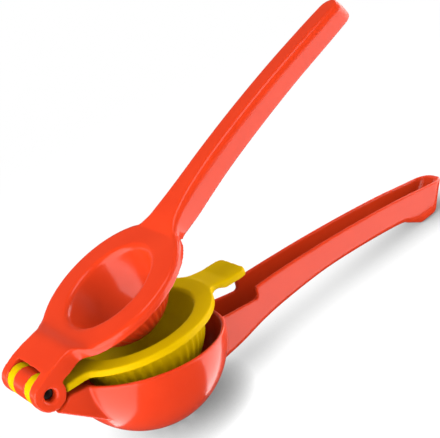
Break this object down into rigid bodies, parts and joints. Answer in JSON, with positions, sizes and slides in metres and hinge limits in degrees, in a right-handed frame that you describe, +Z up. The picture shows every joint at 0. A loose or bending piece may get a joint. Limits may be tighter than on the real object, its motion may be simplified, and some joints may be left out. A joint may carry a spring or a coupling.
{
  "type": "hinged citrus squeezer",
  "caption": "Handheld citrus squeezer: a round lemon cup, a nested fluted lime cup and a domed press turn on one hinge pin, with long channel-shaped handles.",
  "frame": {"origin": "on the table under the middle of the whole squeezer's bounding box, as it stands half open on its round cup and the foot of its lower handle", "axes": "+X from the hinge towards the ends of the handles, +Y along the hinge pin, +Z up from the table"},
  "size_m": [0.2206, 0.072, 0.1142],
  "materials": {
    "red_coat": "semi-gloss red-orange powder coat on cast aluminium",
    "yellow_coat": "semi-gloss golden yellow powder coat on cast aluminium",
    "steel": "plain steel pin"
  },
  "bodies": {
    "lemon_cup": {"lemon_cup": "red_coat"},
    "lime_insert": {"lime_insert": "yellow_coat"},
    "press": {"press": "red_coat", "hinge_pin": "steel"}
  },
  "joints": [
    {"name": "insert_hinge", "type": "hinge", "parent": "lemon_cup", "child": "lime_insert", "pos_m": [-0.10355, 0, 0.04959], "axis": [0, -1, 0], "range_deg": [-7, 83]},
    {"name": "press_hinge", "type": "hinge", "parent": "lime_insert", "child": "press", "pos_m": [-0.10355, 0, 0.04959], "axis": [0, -1, 0], "range_deg": [-17.5, 81]}
  ]
}
